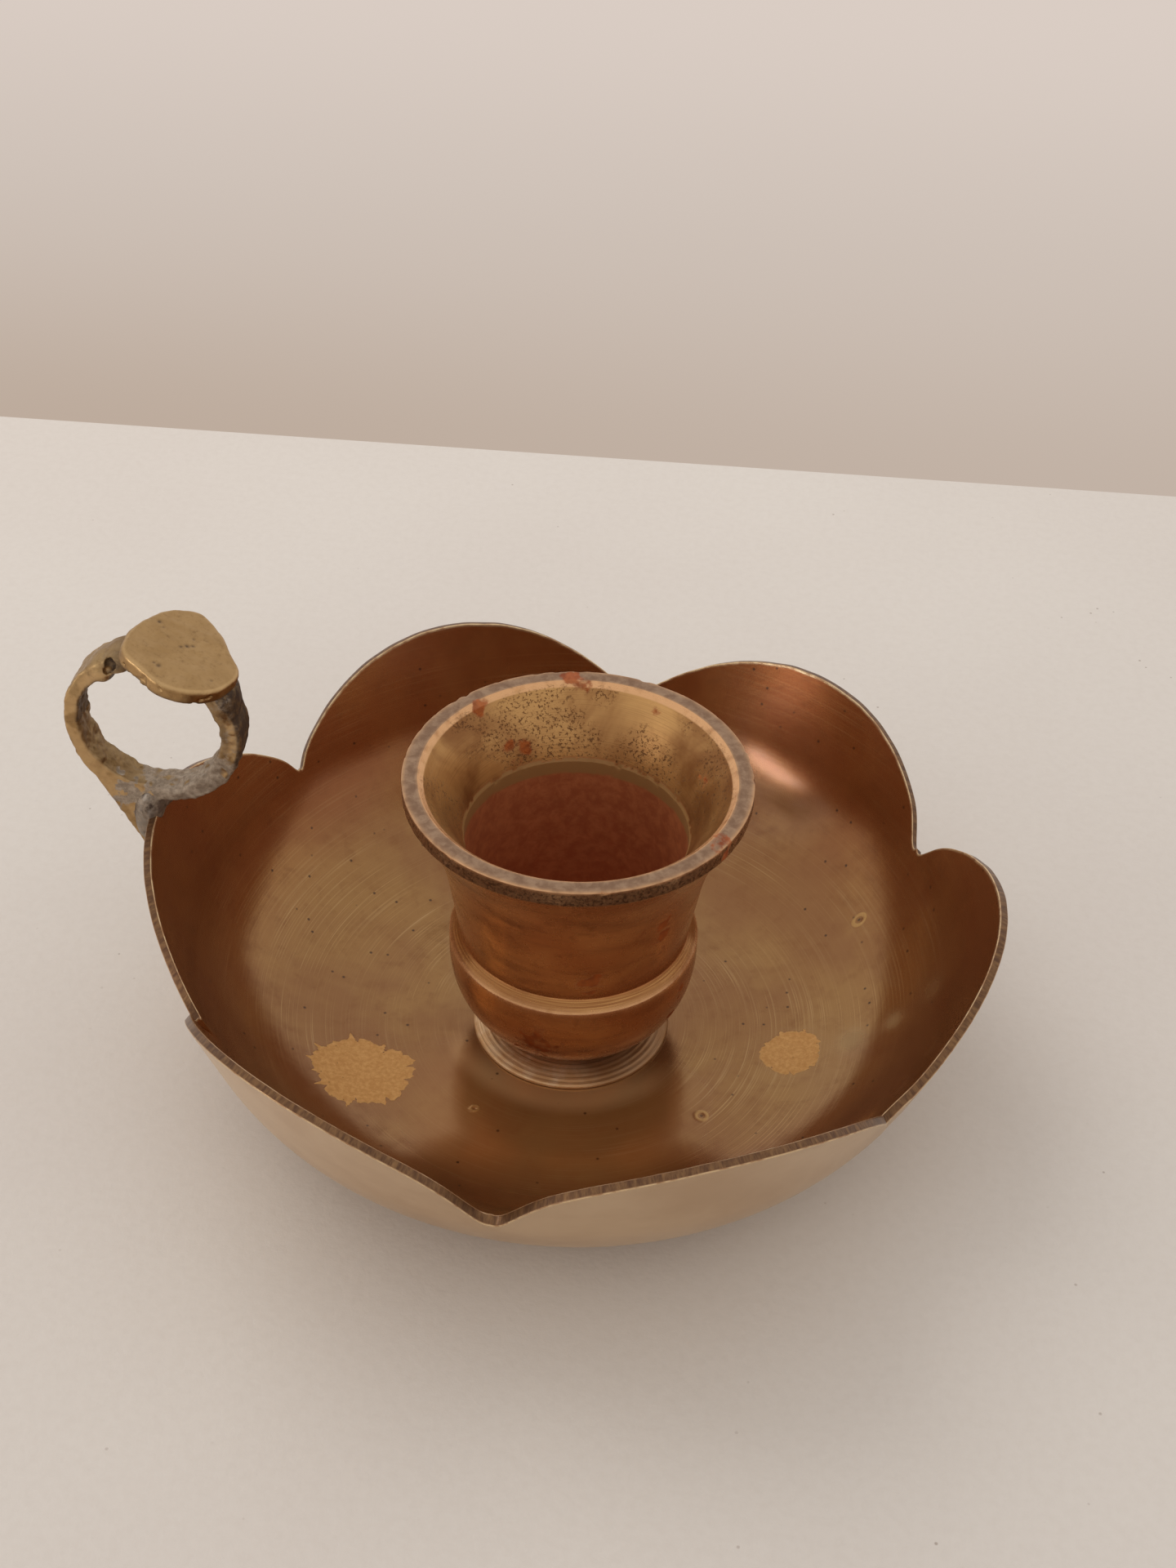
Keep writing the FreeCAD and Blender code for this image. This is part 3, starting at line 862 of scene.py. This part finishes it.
class Shader:
    """A material under construction, with its place in mm. Most methods add nodes and return a socket."""

    def __init__(self, name):
        self.material = bpy.data.materials.new(name)
        self.material.use_nodes = True
        self.tree = self.material.node_tree
        self.surface = self.tree.nodes["Principled BSDF"]
        place = self.node("TexCoord", {}).outputs["Object"]
        scaled = self.node("VectorMath", {0: place, "Scale": 1 / MM}, operation="SCALE")
        self.place = scaled.outputs[0]

    def feed(self, socket, value):
        """Give a socket another socket, a number or a colour written as #rrggbb."""
        if isinstance(value, bpy.types.NodeSocket):
            self.tree.links.new(value, socket)
        else:
            socket.default_value = linear(value) if isinstance(value, str) else value

    def node(self, kind, inputs, **settings):
        made = self.tree.nodes.new("ShaderNode" + kind)
        for key, value in settings.items():
            setattr(made, key, value)
        for key, value in inputs.items():
            self.feed(made.inputs[key], value)
        return made

    def value(self, name):
        return self.node("Attribute", {}, attribute_name=name).outputs["Fac"]

    def noise(self, scale, detail=3.0, rough=0.5, distortion=0.0, place=None):
        inputs = {"Vector": place or self.place, "Scale": scale, "Detail": detail, "Roughness": rough}
        return self.node("TexNoise", {**inputs, "Distortion": distortion}).outputs["Fac"]

    def streaks(self, x, y, z, detail=3.0, rough=0.5, distortion=0.0):
        """Noise over other coordinates than the place."""
        place = self.node("CombineXYZ", {0: x, 1: y, 2: z}).outputs[0]
        return self.noise(1.0, detail, rough, distortion, place)

    def cells(self, scale):
        return self.node("TexVoronoi", {"Vector": self.place, "Scale": scale}).outputs["Distance"]

    def math(self, operation, a, b=0.0):
        return self.node("Math", {0: a, 1: b}, operation=operation).outputs[0]

    def times(self, product, *values):
        for value in values:
            product = self.math("MULTIPLY", product, value)
        return product

    def span(self, value, low, high, end=1.0, start=0.0):
        """A soft step from start, where the value is low, to end, where it is high."""
        inputs = {"Value": value, "From Min": low, "From Max": high, "To Min": start, "To Max": end}
        return self.node("MapRange", inputs, interpolation_type="SMOOTHSTEP").outputs["Result"]

    def mix(self, share, a, b):
        made = self.node("Mix", {0: share, 6: a, 7: b}, data_type="RGBA")
        return made.outputs[2]

    def layers(self, colour, *coats):
        """A colour under coats, each given as its share and its colour."""
        for share, coat in coats:
            colour = self.mix(share, colour, coat)
        return colour

    def blend(self, share, a, b):
        return self.node("Mix", {0: share, 2: a, 3: b}, data_type="FLOAT").outputs[0]

    def levels(self, value, *steps):
        """A value changed in steps, each given as its share and its level."""
        for share, level in steps:
            value = self.blend(share, value, level)
        return value

    def ragged(self, name, scale, detail, spread):
        """A surface value with noise on it, so that its edges are ragged."""
        rough = self.math("SUBTRACT", self.noise(scale, detail, 0.7), 0.5)
        return self.math("ADD", self.value(name), self.times(rough, spread))

    def parts(self):
        return self.node("SeparateXYZ", {0: self.place}).outputs

    def turn(self):
        """The angle about the candle's axis."""
        x, y, _ = self.parts()
        return self.math("ARCTAN2", y, x)

    def relief(self, *bumps):
        """A normal from bumps laid over each other, each given as its height and its depth in mm."""
        below = {}
        for height, depth in bumps:
            made = self.node("Bump", {"Height": height, "Distance": depth * MM, **below})
            below = {"Normal": made.outputs[0]}
        return below["Normal"]

    def put(self, name, value):
        self.feed(self.surface.inputs[name], value)

    def finish(self, colour, metallic, roughness, normal):
        self.put("Base Color", colour)
        self.put("Metallic", metallic)
        self.put("Roughness", roughness)
        self.put("Normal", normal)
        return self.material


def lathe_lines(s, run, angle, fineness):
    """Turned lines along the profile, coarse and fine."""
    coarse = s.streaks(s.times(run, fineness), s.times(angle, 0.5), 0.0, 2.0, 0.6)
    fine = s.streaks(s.times(run, fineness * 4), s.times(angle, 1.3), 5.0, 2.0, 0.6)
    return coarse, fine


# Place on the back right petal where the old lacquer is thickest
THICK_LACQUER = (19.5, 32.8, 13.0)


def dish_zones(s):
    """The floor ahead of the cup, duller and lightened as painted light where the cup's shade and dark
    reflection fall; a lighter crescent round the foot, rubbed metal with painted light on it; and the right
    corner, redder and darker as painted shade where a bright reflection falls.
    """
    x, y, z = s.parts()
    out = s.math("POWER", s.math("ADD", s.times(x, x), s.times(y, y)), 0.5)
    ahead = s.times(s.span(y, -3.0, -10.0), s.span(out, 31.0, 20.0))
    ahead = s.times(ahead, s.span(z, 4.0, 2.0), s.span(s.math("ABSOLUTE", x), 19.0, 9.0))
    # A lighter crescent round the front of the foot: rubbed metal with painted light on it
    rubbed_and_lit = s.times(s.span(out, 10.2, 10.8), s.span(out, 14.4, 12.0), ahead)
    corner = s.span(s.math("SUBTRACT", x, s.times(y, 1.6)), 38.0, 56.0, 0.6)
    return ahead, rubbed_and_lit, corner


def dish_lacquer(s, spot, outer):
    """Old lacquer on the inside, worn off the bare spots."""
    away = s.node("VectorMath", {0: s.place, 1: THICK_LACQUER}, operation="DISTANCE")
    thick = s.span(away.outputs["Value"], 11.0, 4.0, 0.9, 0.2)
    s.put("Coat Weight", s.levels(thick, (outer, 0.1), (spot, 0.0)))
    s.put("Coat Roughness", 0.16)


def dish_material():
    """Olive gold floor, redder walls, a dark filed rim with bright edges, and a paler outside."""
    s = Shader("dish_patina")
    run = s.value("run")
    angle = s.turn()
    coarse, fine = lathe_lines(s, run, angle, 1.6)
    patch = s.span(s.noise(0.07, 2.0), 0.46, 0.62)
    tone = s.span(s.noise(0.06, 4.0, 0.6, 0.4), 0.35, 0.65)
    mottled = s.noise(0.5, 6.0, 0.65, 0.3)
    climb = s.span(s.parts()[2], 3.0, 17.0)
    ahead, rubbed_and_lit, corner = dish_zones(s)
    spot = s.span(s.ragged("spot", 1.6, 5.0, 0.35), 0.0, 0.12)
    grain = s.noise(2.2, 5.0, 0.7)
    bare = s.mix(s.span(grain, 0.35, 0.7), "#cc9756", "#dead6c")
    ring, outer, haze_and_sheen, rim = (s.value(name) for name in ("ring", "outside", "haze_and_sheen", "rim"))
    file_marks = s.streaks(s.times(angle, 95.0), s.times(run, 0.5), 2.0, 3.0, 0.7)
    worn = s.times(s.span(s.value("wear"), 0.25, 0.8), s.span(s.noise(0.9, 3.0), 0.3, 0.6, 1.0, 0.35))
    colour = s.layers(
        s.mix(climb, s.mix(tone, "#8b5f38", "#997143"), s.mix(tone, "#92552b", "#a06737")),
        (s.span(mottled, 0.45, 0.85, 0.45), "#7a4822"),
        (s.times(s.span(fine, 0.5, 0.75), s.blend(patch, 0.10, 0.26)), "#d6b684"),
        # Painted shade: the right front corner is darker and redder where a bright reflection falls
        (corner, "#84481f"),
        # Painted light: the floor ahead of the cup is lightened where the cup's shade and dark reflection
        # fall
        (s.times(ahead, 0.4), "#ab713a"),
        # Painted light on rubbed metal: a lighter crescent round the front of the foot
        (s.times(rubbed_and_lit, 0.7), "#dcae78"),
        (s.times(s.span(s.cells(0.42), 0.10, 0.03), 0.8), "#3a2412"),
        (spot, s.mix(s.span(s.cells(0.9), 0.10, 0.03), bare, "#8d6230")),
        (s.span(ring, 0.2, 0.7, 0.5), "#c49a5c"),
        (s.span(ring, -0.2, -0.7, 0.8), "#2e1f10"),
        (outer, s.mix(tone, "#cdae8a", "#dbc09e")),
        # Painted sheen: pale patches on the right wall, partly hazy rubbed metal
        (s.times(s.span(haze_and_sheen, 0.0, 1.0), 0.85), "#b7996a"),
        (rim, s.mix(s.span(file_marks, 0.3, 0.8), "#573823", "#8a6540")),
        (worn, "#e0c49a"),
    )
    rough = s.levels(s.blend(s.span(mottled, 0.4, 0.8), 0.16, 0.26), (climb, 0.24), (spot, 0.62),
                     (outer, 0.33), (rim, 0.42), (s.span(haze_and_sheen, 0.1, 0.9), 0.5))
    metal = s.levels(0.76, (ahead, 0.5), (spot, 0.35), (outer, 1.0))
    dish_lacquer(s, spot, outer)
    normal = s.relief(
        (s.times(coarse, patch), 0.010),
        (fine, 0.0016),
        (s.times(mottled, s.blend(outer, 1.0, 1.5)), 0.012),
        (s.times(file_marks, rim), 0.05),
        (s.math("ADD", s.times(ring, 0.6), s.times(spot, s.times(grain, 0.5))), 0.05),
    )
    return s.finish(colour, metal, rough, normal)


def cup_material():
    """Red copper outside and in the bore, a gold pitted flare, a grey top and rust."""
    s = Shader("cup_patina")
    run = s.value("run")
    angle = s.turn()
    coarse, fine = lathe_lines(s, run, angle, 2.2)
    tone = s.span(s.noise(0.11, 4.0, 0.6, 0.5), 0.35, 0.65)
    mottled = s.noise(0.8, 6.0, 0.65, 0.3)
    blotch = s.span(mottled, 0.35, 0.7)
    smudge = s.streaks(s.times(angle, 1.1), s.times(run, 0.38), 3.0, 5.0, 0.6, 0.4)
    bore, flare, top = (s.value(name) for name in ("bore", "flare", "top"))
    pit_field = s.noise(3.0, 4.0, 0.75)
    pit_zone = s.span(s.noise(0.16, 2.0), 0.38, 0.56)
    pits = s.times(s.span(pit_field, 0.54, 0.62), pit_zone, flare)
    worn = s.times(s.value("wear"), s.span(s.noise(0.8, 4.0), 0.25, 0.55, 1.0, 0.45))
    stain = s.span(s.ragged("stain", 2.0, 4.0, 0.8), 0.05, 0.5)
    colour = s.layers(
        s.mix(tone, "#b47442", "#c68a52"),
        (s.span(mottled, 0.5, 0.85, 0.5), "#6e3a1a"),
        (s.span(smudge, 0.42, 0.75, 0.75), "#743f20"),
        # Painted reflection: the cup is redder towards its right side
        (s.span(s.parts()[0], 3.0, 11.0, 0.5), "#96522c"),
        (flare, s.mix(tone, "#8f6035", "#c0925a")),
        (s.times(s.span(fine, 0.5, 0.75, 0.45), flare), "#7c5430"),
        (s.times(pits, 0.85), "#643f22"),
        (bore, s.mix(blotch, "#a8613c", "#bf784c")),
        (s.value("band"), "#a27a4a"),
        (s.value("lip"), s.mix(s.span(pit_field, 0.45, 0.62), "#9a7350", "#5e4029")),
        (s.value("land"), s.mix(s.span(fine, 0.4, 0.7), "#905a2b", "#c28f55")),
        (top, s.mix(blotch, "#83644d", "#a2846a")),
        # Worn edges, with a painted highlight along the land's lower edge
        (worn, "#dba878"),
        (s.times(stain, 0.8), s.mix(blotch, "#7c3210", "#a8501c")),
    )
    rough = s.blend(s.span(mottled, 0.4, 0.8), 0.23, 0.36)
    rough = s.levels(rough, (flare, 0.34), (bore, 0.46), (top, 0.46), (stain, 0.6))
    metal = s.levels(0.72, (bore, 0.25), (stain, 0.0))
    s.put("Specular IOR Level", s.blend(stain, 0.5, 0.12))
    normal = s.relief(
        (coarse, 0.012),
        (fine, 0.003),
        (s.times(mottled, s.blend(bore, 1.0, 0.3)), 0.02),
        (s.times(pits, -1.0), 0.025),
    )
    return s.finish(colour, metal, rough, normal)


def foot_material():
    """Bright turned gold, with painted shade away from the front left, where its highlight falls."""
    s = Shader("foot_turned")
    coarse, fine = lathe_lines(s, s.value("run"), s.turn(), 3.5)
    mottled = s.noise(0.7, 5.0, 0.6)
    x, y, _ = s.parts()
    front_left = s.math("ADD", s.times(x, -0.6), s.times(y, -0.8))
    colour = s.layers(
        s.mix(s.span(mottled, 0.35, 0.7), "#e2b27c", "#f2cea0"),
        (s.span(fine, 0.46, 0.66, 0.6), "#a06a3c"),
        (s.span(s.value("wear"), 1.0, 0.3), "#7a4420"),
        # Painted shade: darker away from the front left, where the foot's highlight falls
        (s.span(front_left, 7.0, 3.5, 0.75), "#8c6038"),
    )
    normal = s.relief((coarse, 0.014), (fine, 0.004))
    return s.finish(colour, 0.5, s.blend(mottled, 0.36, 0.48), normal)


def cast_material(name, low_tone, high_tone, depth):
    """Cast metal with grime and painted shade, worn edges and smears of grey solder."""
    s = Shader(name)
    broad = s.noise(0.25, 4.0, 0.6, 0.3)
    fine = s.noise(1.6, 6.0, 0.7)
    grime_and_shade = s.times(s.value("grime_and_shade"), s.span(s.noise(1.1, 4.0, 0.65), 0.25, 0.6, 1.0, 0.45))
    smear = s.span(s.ragged("smear", 1.4, 5.0, 1.0), 0.35, 0.75)
    colour = s.layers(
        s.mix(s.span(broad, 0.35, 0.65), low_tone, high_tone),
        (s.span(fine, 0.5, 0.8, 0.5), "#5c4228"),
        (s.times(s.value("wear"), 0.45), "#d8b483"),
        # Grime, and painted shade where the pieces carry it
        (grime_and_shade, "#4a3a30"),
        (smear, s.mix(s.span(fine, 0.35, 0.7), "#84725f", "#ad9b87")),
    )
    rough = s.levels(s.blend(s.span(fine, 0.35, 0.75), 0.34, 0.52), (grime_and_shade, 0.62), (smear, 0.6))
    metal = s.levels(1.0, (grime_and_shade, 0.7), (smear, 0.35))
    normal = s.relief((fine, depth), (s.noise(4.5, 4.0, 0.7), 0.3 * depth))
    return s.finish(colour, metal, rough, normal)


def plain_metal(name, low_tone, high_tone, roughness):
    """Plain metal with faint scratches."""
    s = Shader(name)
    x, y, _ = s.parts()
    broad = s.noise(0.6, 5.0, 0.6)
    colour = s.mix(s.span(broad, 0.3, 0.7), low_tone, high_tone)
    scratch = s.streaks(s.times(x, 6.0), y, 0.0, 3.0)
    normal = s.relief((s.math("ADD", broad, scratch), 0.02))
    return s.finish(colour, 1.0, s.blend(broad, roughness, roughness + 0.15), normal)


# The camera's place in mm and its axes, from the outlines in the photograph
CAMERA = (19.708, -159.817, 164.678)
LOOK = Vector((-0.09045633, 0.77151542, -0.62974726))
RIGHT = Vector((0.99002304, 0.13825958, 0.02717843))
UPWARD = Vector((-0.10803717, 0.62100583, 0.7763245))
LENS = 48.75

# Where the table ends in the photograph, left and right, in mm
FOLD = ((-105.8, 115.5), (73.6, 124.8))

# How far the table reaches, and how wide to either side and how deep the pale ground beyond it is
TABLE_REACH = 1500
GROUND_HALF = 3000
GROUND_DEPTH = 9000

# The camera's height, and how far it stands in front of the fold
EYE_HEIGHT = 165.0
EYE_TO_FOLD = 280.0


def stage_mesh(name, corners, material):
    mesh = bpy.data.meshes.new(name)
    mesh.from_pydata([(x * MM, y * MM, 0) for x, y in corners], [], [(0, 1, 2, 3)])
    made = placed(name, mesh)
    made.data.materials.append(material)
    return made


def table_material():
    """Pale paper with faint clouds, grain and dust, and painted light that makes it a little lighter at the
    back.
    """
    s = Shader("table_top")
    cloud = s.noise(0.012, 3.0, 0.5)
    grain = s.noise(0.9, 4.0, 0.6)
    dust = s.times(s.span(s.cells(0.35), 0.075, 0.03), s.span(s.noise(0.05, 2.0), 0.52, 0.62))
    colour = s.layers(
        s.mix(s.span(cloud, 0.35, 0.65), "#d2c9c1", "#d6cec6"),
        # Painted light: lighter towards the back
        (s.span(s.parts()[1], 10.0, 125.0, 0.25), "#e8dfd6"),
        (s.span(grain, 0.3, 0.8, 0.12), "#b9aca0"),
        (s.times(dust, 0.6), "#8a7668"),
    )
    return s.finish(colour, 0.0, 0.6, s.relief((grain, 0.05)))


def backdrop_material():
    """The pale ground beyond the fold glows in tones that follow the height at which a wall there would be
    seen, with painted shade that makes it darker near the fold.

    Only camera, glossy and transmission rays see it, so it throws no light on the object.
    """
    s = Shader("backdrop_paper")
    x, y, _ = s.parts()
    height = s.times(s.math("DIVIDE", y, s.math("ADD", y, EYE_TO_FOLD)), EYE_HEIGHT)
    # Painted shade: darker near the fold, lighter higher up
    colour = s.layers(
        s.mix(s.span(x, -90.0, 90.0), "#bcaa9b", "#c1b1a4"),
        (s.span(height, -6.0, 46.0), "#cec1b7"),
        (s.span(height, 34.0, 74.0), "#dacdc4"),
    )
    rays = s.node("LightPath", {}).outputs
    seen = s.math("MAXIMUM", rays["Is Camera Ray"], rays["Is Glossy Ray"])
    seen = s.math("MAXIMUM", seen, rays["Is Transmission Ray"])
    s.put("Base Color", s.mix(seen, colour, "#000000"))
    s.put("Specular IOR Level", 0.0)
    s.put("Emission Color", colour)
    s.put("Emission Strength", seen)
    return s.material


def make_stage():
    """The table up to the fold, and the ground beyond it, turned to the fold's line."""
    left, right = np.array(FOLD)
    middle = (left + right) / 2
    turn = math.atan2(right[1] - left[1], right[0] - left[0])
    along = TABLE_REACH * np.array([math.cos(turn), math.sin(turn)])
    near = [(-TABLE_REACH, -TABLE_REACH), (TABLE_REACH, -TABLE_REACH)]
    stage_mesh("table", near + [middle + along, middle - along], table_material())
    ground = [(-GROUND_HALF, 0), (GROUND_HALF, 0), (GROUND_HALF, GROUND_DEPTH), (-GROUND_HALF, GROUND_DEPTH)]
    beyond = stage_mesh("backdrop", ground, backdrop_material())
    beyond.location = (middle[0] * MM, middle[1] * MM, 0)
    beyond.rotation_euler = (0, 0, turn)


def area_light(name, place, width, height, power, colour, target=(0, 0, 10)):
    data = bpy.data.lights.new(name, "AREA")
    data.shape = "ELLIPSE"
    data.size = width * MM
    data.size_y = height * MM
    data.energy = power
    data.color = colour
    made = placed(name, data)
    made.location = Vector(place) * MM
    aim = Vector(target) * MM - made.location
    made.rotation_mode = "QUATERNION"
    made.rotation_quaternion = aim.to_track_quat("-Z", "Y")
    return made


def make_light():
    world = bpy.data.worlds.new("room")
    bpy.context.scene.world = world
    world.use_nodes = True
    back = world.node_tree.nodes["Background"]
    back.inputs["Color"].default_value = (1.0, 0.97, 0.94, 1.0)
    back.inputs["Strength"].default_value = 0.81
    key = area_light("key", (-355, 298, 550), 600, 600, 1.3, (1.0, 0.97, 0.94))
    key.visible_glossy = False
    area_light("window", (-462, -330, 106), 190, 150, 0.31, (1.0, 0.98, 0.97))


def make_camera():
    data = bpy.data.cameras.new("camera")
    data.sensor_fit = "AUTO"
    data.sensor_width = 36
    data.lens = LENS
    data.clip_start = 0.01
    data.clip_end = 20
    camera = placed("camera", data)
    basis = Matrix((RIGHT, UPWARD, -LOOK)).transposed().to_4x4()
    camera.matrix_world = Matrix.Translation(Vector(CAMERA) * MM) @ basis
    bpy.context.scene.camera = camera


def dress(piece, material):
    """Give a piece one material in place of its own."""
    piece.data.materials.clear()
    piece.data.materials.append(material)


dress(make_dish(), dish_material())
dress(make_cup(), cup_material())
dress(make_foot(), foot_material())
dress(make_ring(), cast_material("ring_cast", "#9a7a50", "#ae9066", 0.04))
dress(make_plate(), cast_material("plate_cast", "#a07e52", "#ae8c60", 0.015))
dress(make_solder(), cast_material("solder_tin", "#857c72", "#9d948a", 0.03))
for node, slot, material in (
    ("cup_screw", "screw_brass", plain_metal("screw_metal", "#a8824a", "#c09a60", 0.3)),
    ("plate_braze", "braze", plain_metal("braze_metal", "#7a6040", "#96784e", 0.45)),
):
    dress(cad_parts[node], material)
make_stage()
make_light()
make_camera()

bpy.context.scene.view_settings.view_transform = "Standard"
